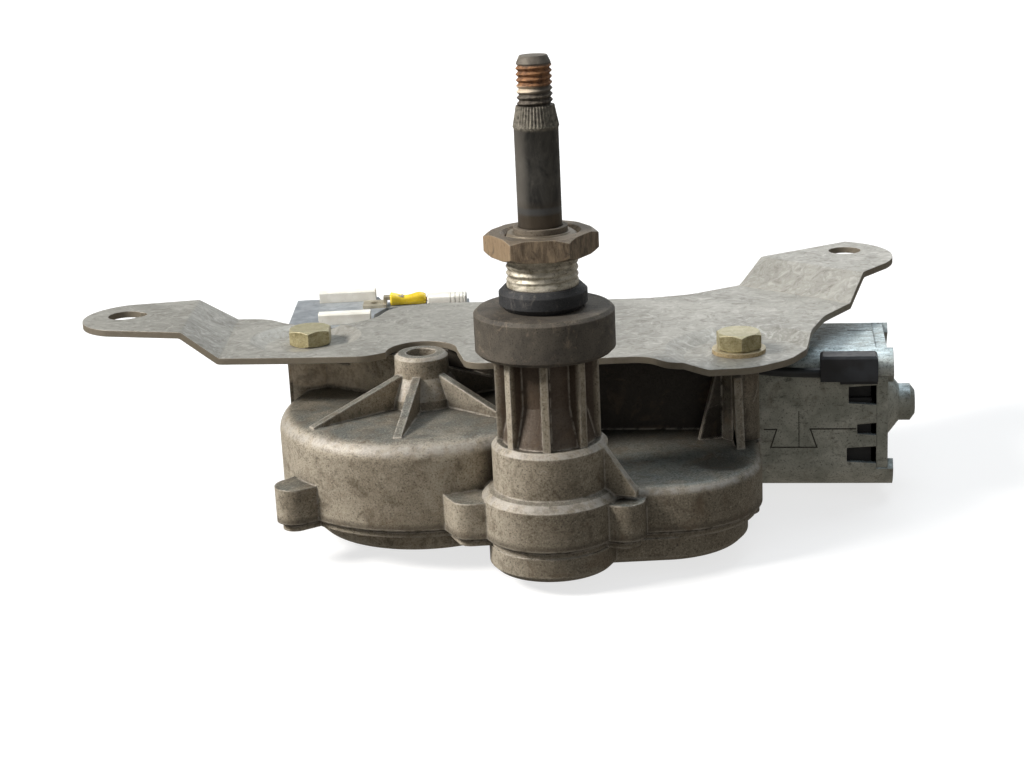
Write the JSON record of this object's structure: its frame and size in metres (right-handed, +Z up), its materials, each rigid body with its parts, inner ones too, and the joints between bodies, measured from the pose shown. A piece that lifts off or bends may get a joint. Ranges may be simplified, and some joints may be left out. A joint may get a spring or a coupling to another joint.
{
  "type": "wiper motor",
  "caption": "Geared wiper motor with an upright spindle in a threaded sleeve, a die-cast gear housing, a square motor can and a pressed bracket with raised ears.",
  "frame": {"origin": "on the spindle's axis, at the foot of the sleeve's exposed thread, where the small rubber collar ends", "axes": "+Z up the spindle towards its threaded end, +X towards the motor's end plate, the connector side towards +Y"},
  "size_m": [0.2117, 0.1249, 0.119],
  "materials": {
    "cast_alloy": "weathered die-cast aluminium",
    "bare_steel": "bare machined steel",
    "dark_steel": "blackened steel with rust on the thread",
    "sheet_steel": "galvanised sheet steel, dull and streaked",
    "yoke_steel": "grey-green passivated sheet steel",
    "brown_steel": "tarnished steel",
    "zinc_bolt": "yellow-passivated zinc plating",
    "brass": "dull brass",
    "copper": "copper",
    "bronze": "sintered bronze",
    "ferrite": "sintered ferrite",
    "carbon": "pressed carbon",
    "rubber": "matt black-brown rubber",
    "gasket": "thin black gasket",
    "gear_plastic": "natural acetal",
    "card_plastic": "black moulded plastic",
    "white_plastic": "off-white nylon",
    "black_plastic": "satin black plastic",
    "yellow_plastic": "yellow insulation"
  },
  "bodies": {
    "housing": {"gear_housing": "cast_alloy", "bottom_cover": "cast_alloy", "cover_gasket": "gasket", "cover_screws": "bare_steel", "spindle_sleeve": "bare_steel", "upper_bush": "bronze", "lower_bush": "bronze", "spindle_seal": "rubber", "sleeve_nut": "brown_steel", "sleeve_collar": "rubber", "mounting_grommet": "rubber", "mounting_bracket": "sheet_steel", "bracket_bolts": "zinc_bolt", "bracket_washer": "zinc_bolt", "motor_yoke": "yoke_steel", "field_magnets": "ferrite", "end_plate": "yoke_steel", "end_bearing": "bronze", "brush_holder": "card_plastic", "brushes": "carbon", "brush_springs": "bare_steel", "motor_plug": "black_plastic", "wheel_axle": "bare_steel", "wheel_clip": "bare_steel", "thrust_screw": "bare_steel", "worm_bearing": "bronze", "terminal_plate": "sheet_steel", "terminal_rails": "white_plastic", "terminal_tab": "brass", "crimp_sleeve": "yellow_plastic", "terminal_wire": "copper", "connector_block": "white_plastic", "motor_lead": "black_plastic", "switch_base": "card_plastic", "switch_contacts": "brass"},
    "armature": {"worm_shaft": "bare_steel", "armature_stack": "bare_steel", "armature_windings": "copper", "commutator": "copper"},
    "wheel": {"worm_wheel": "gear_plastic", "crank_pin": "bare_steel", "contact_disc": "copper"},
    "spindle": {"wiper_spindle": "dark_steel", "spindle_pinion": "bare_steel", "spindle_clip": "bare_steel"},
    "link": {"guide_link": "bare_steel", "link_pin": "bare_steel"},
    "sector": {"sector_rod": "bare_steel"}
  },
  "joints": [
    {"name": "armature_spin", "type": "hinge", "parent": "housing", "child": "armature", "pos_m": [-0.02481, 0.07106, -0.04835], "axis": [0.99, -0.1409, 0], "continuous": true},
    {"name": "wheel_spin", "type": "hinge", "parent": "housing", "child": "wheel", "pos_m": [-0.0296, 0.0374, -0.04835], "axis": [0, 0, 1], "continuous": true},
    {"name": "spindle_sweep", "type": "hinge", "parent": "housing", "child": "spindle", "pos_m": [0, 0, 0], "axis": [0, 0, 1], "range_deg": [-55, 55]},
    {"name": "link_swing", "type": "hinge", "parent": "housing", "child": "link", "pos_m": [0, 0, 0], "axis": [0, 0, 1], "range_deg": [-14.5, 14.5]},
    {"name": "sector_swing", "type": "hinge", "parent": "link", "child": "sector", "pos_m": [0.01391, 0.02226, -0.058], "axis": [0, 0, 1], "range_deg": [-16.3, 16.3]}
  ],
  "couplings": [
    {"joint": "wheel_spin", "follows": "armature_spin", "ratio": 0.021739},
    {"joint": "link_swing", "follows": "spindle_sweep", "ratio": 0.262},
    {"joint": "sector_swing", "follows": "spindle_sweep", "ratio": -0.2952}
  ]
}
